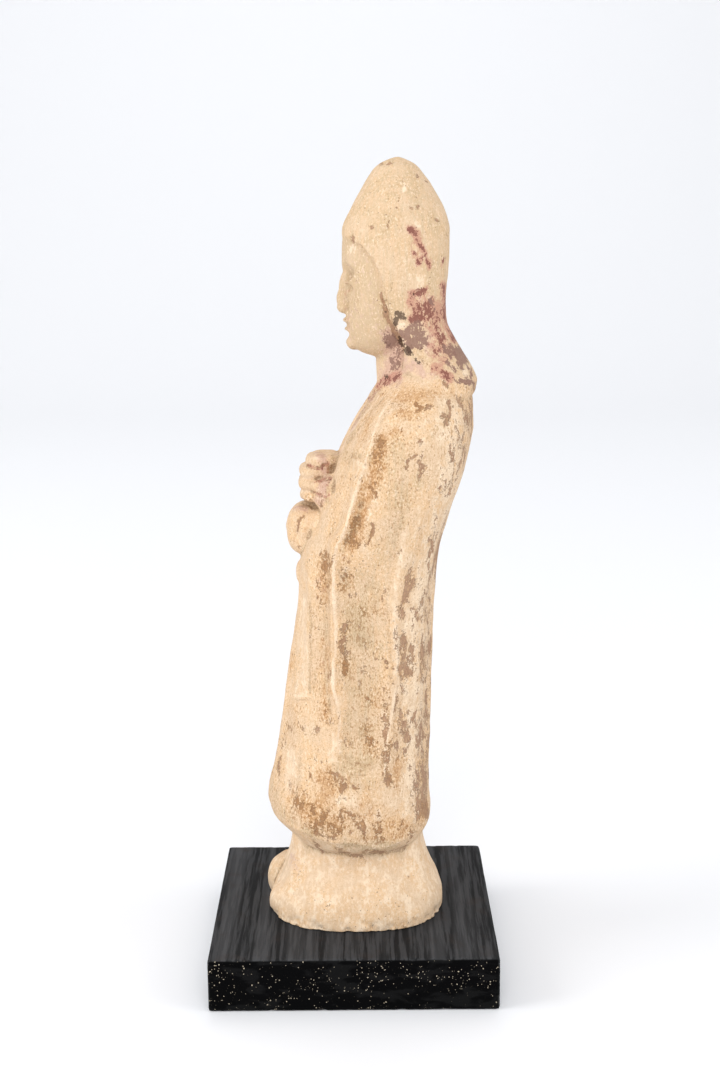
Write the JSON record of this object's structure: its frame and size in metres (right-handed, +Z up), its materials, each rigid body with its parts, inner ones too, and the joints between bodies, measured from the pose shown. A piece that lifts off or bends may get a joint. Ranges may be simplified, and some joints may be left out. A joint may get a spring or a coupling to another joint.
{
  "type": "pottery attendant figure",
  "caption": "Standing pottery attendant in a tall hood and a long cloak, hands clasped one above the other at the chest, on a square dark wood plinth.",
  "frame": {"origin": "middle of the plinth's underside, on the surface that it stands on", "axes": "+Z up through the hood, -Y the way that the figure faces, +X towards the figure's left hand"},
  "size_m": [0.1, 0.1, 0.2857],
  "materials": {
    "slipped_pottery": "matt low-fired clay under worn cream slip, with traces of red and purple paint",
    "black_stained_wood": "black stain, sawn, dull"
  },
  "bodies": {
    "root": {"attendant_figure": "slipped_pottery", "wood_plinth": "black_stained_wood"}
  },
  "joints": []
}
